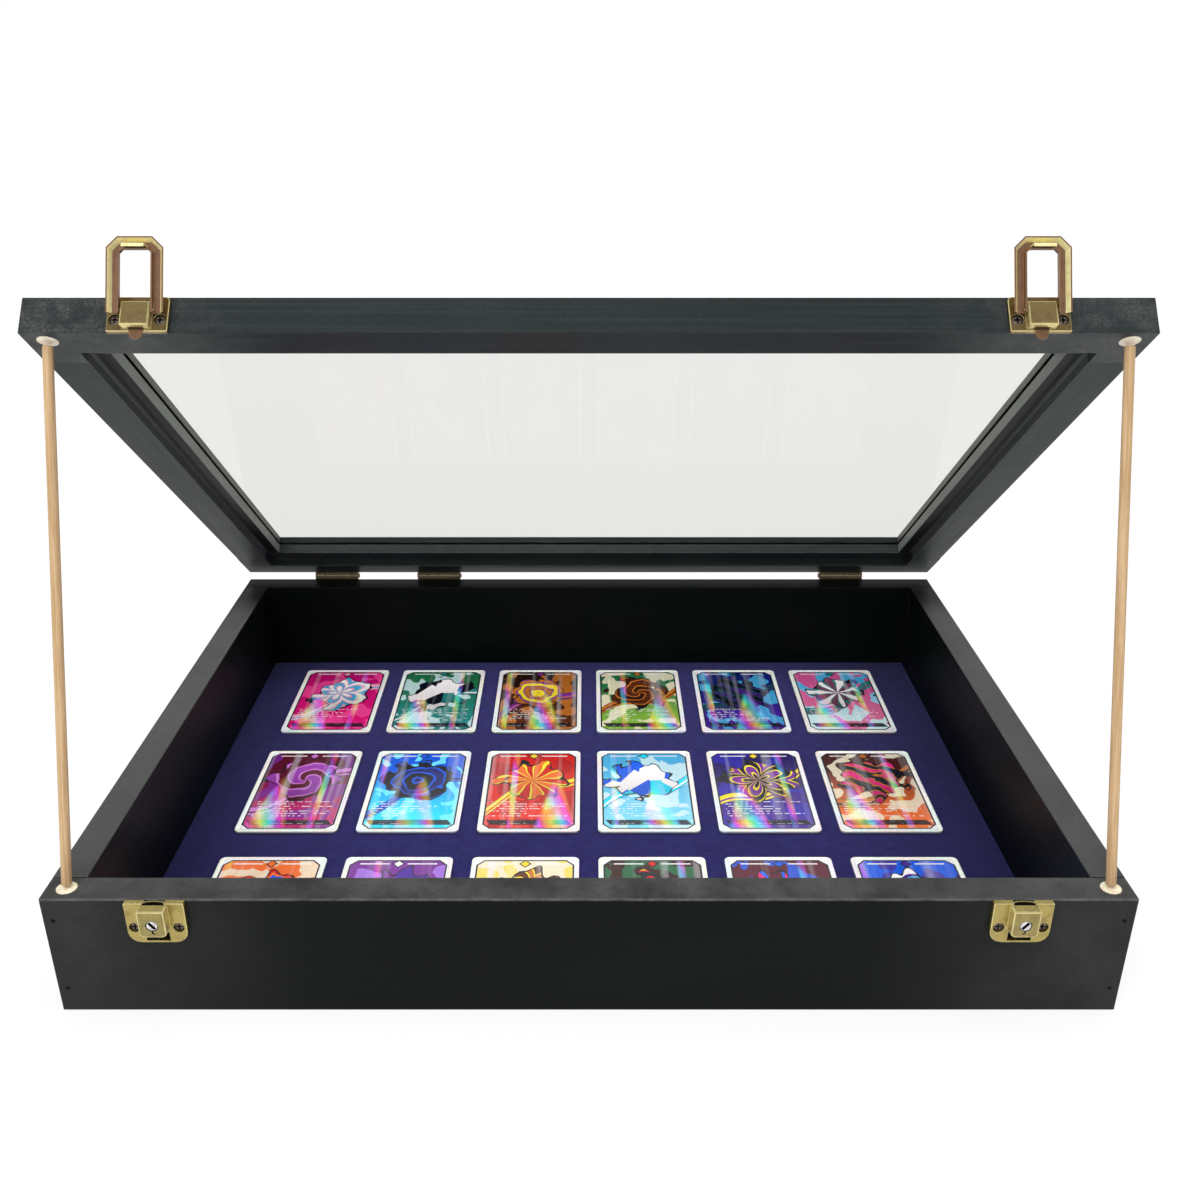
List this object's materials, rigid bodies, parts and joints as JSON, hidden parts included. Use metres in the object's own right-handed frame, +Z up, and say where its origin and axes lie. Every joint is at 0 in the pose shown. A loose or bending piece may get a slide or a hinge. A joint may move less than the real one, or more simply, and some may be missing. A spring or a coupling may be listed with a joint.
{
  "type": "display case",
  "caption": "Shallow wooden tabletop display case with a hinged glass lid held open by wooden rods, key latches and cards on a felt liner.",
  "frame": {"origin": "middle of the base, on the face that the case stands on", "axes": "+X to the right, -Y out of the front with the latches, +Z up"},
  "size_m": [0.51, 0.4006, 0.3495],
  "materials": {
    "case_wood": "black satin paint on wood",
    "lid_wood": "black satin paint on wood, faint grain",
    "liner_felt": "indigo felt",
    "glass": "clear",
    "bare_wood": "bare birch",
    "latch_brass": "polished, pressed sheet",
    "cylinder_steel": "nickelled",
    "hinge_metal": "antique, darkened",
    "screw_bronze": "bronzed",
    "card_foil": "printed foil with a silver rim"
  },
  "bodies": {
    "case": {"front_panel": "case_wood", "rear_panel": "case_wood", "left_panel": "case_wood", "right_panel": "case_wood", "bottom_panel": "case_wood", "felt_liner": "liner_felt", "rim_seat_left": "bare_wood", "rim_seat_right": "bare_wood", "lock_plate_left": "latch_brass", "lock_plate_right": "latch_brass", "lock_screw_left_1": "screw_bronze", "lock_screw_left_2": "screw_bronze", "lock_screw_right_1": "screw_bronze", "lock_screw_right_2": "screw_bronze", "hinge_1_case_leaf": "hinge_metal", "hinge_1_pin": "hinge_metal", "hinge_2_case_leaf": "hinge_metal", "hinge_2_pin": "hinge_metal", "hinge_3_case_leaf": "hinge_metal", "hinge_3_pin": "hinge_metal", "card_1_1": "card_foil", "card_1_2": "card_foil", "card_1_3": "card_foil", "card_1_4": "card_foil", "card_1_5": "card_foil", "card_1_6": "card_foil", "card_2_1": "card_foil", "card_2_2": "card_foil", "card_2_3": "card_foil", "card_2_4": "card_foil", "card_2_5": "card_foil", "card_2_6": "card_foil", "card_3_1": "card_foil", "card_3_2": "card_foil", "card_3_3": "card_foil", "card_3_4": "card_foil", "card_3_5": "card_foil", "card_3_6": "card_foil"},
    "lid": {"lid_front_rail": "lid_wood", "lid_rear_rail": "lid_wood", "lid_left_rail": "lid_wood", "lid_right_rail": "lid_wood", "glass_pane": "glass", "lid_seat_left": "bare_wood", "lid_seat_right": "bare_wood", "lid_plate_left": "latch_brass", "lid_plate_right": "latch_brass", "lid_screw_left_1": "screw_bronze", "lid_screw_left_2": "screw_bronze", "lid_screw_right_1": "screw_bronze", "lid_screw_right_2": "screw_bronze", "hinge_1_lid_leaf": "hinge_metal", "hinge_2_lid_leaf": "hinge_metal", "hinge_3_lid_leaf": "hinge_metal"},
    "left_bail": {"bail_left": "latch_brass"},
    "left_cylinder": {"lock_cylinder_left": "cylinder_steel"},
    "left_prop": {"prop_left": "bare_wood"},
    "right_bail": {"bail_right": "latch_brass"},
    "right_cylinder": {"lock_cylinder_right": "cylinder_steel"},
    "right_prop": {"prop_right": "bare_wood"}
  },
  "joints": [
    {"name": "lid_hinge", "type": "hinge", "parent": "case", "child": "lid", "pos_m": [0, 0.1944, 0.067], "axis": [-1, 0, 0], "range_deg": [-39, 0]},
    {"name": "left_bail_pivot", "type": "hinge", "parent": "lid", "child": "left_bail", "pos_m": [-0.201, -0.10246, 0.31949], "axis": [1, 0, 0], "range_deg": [0, 166]},
    {"name": "left_cylinder_turn", "type": "hinge", "parent": "case", "child": "left_cylinder", "pos_m": [-0.201, -0.19, 0.0568], "axis": [0, 1, 0], "range_deg": [0, 90]},
    {"name": "left_prop_tip", "type": "hinge", "parent": "case", "child": "left_prop", "pos_m": [-0.245, -0.1845, 0.01627], "axis": [1, 0, 0], "range_deg": [0, 109.5]},
    {"name": "right_bail_pivot", "type": "hinge", "parent": "lid", "child": "right_bail", "pos_m": [0.201, -0.10246, 0.31949], "axis": [1, 0, 0], "range_deg": [0, 166]},
    {"name": "right_cylinder_turn", "type": "hinge", "parent": "case", "child": "right_cylinder", "pos_m": [0.201, -0.19, 0.0568], "axis": [0, -1, 0], "range_deg": [0, 90]},
    {"name": "right_prop_tip", "type": "hinge", "parent": "case", "child": "right_prop", "pos_m": [0.245, -0.1845, 0.01627], "axis": [1, 0, 0], "range_deg": [0, 109.5]}
  ],
  "couplings": [
    {"joint": "left_prop_tip", "follows": "lid_hinge", "ratio": -2.8076},
    {"joint": "right_prop_tip", "follows": "lid_hinge", "ratio": -2.8076}
  ]
}
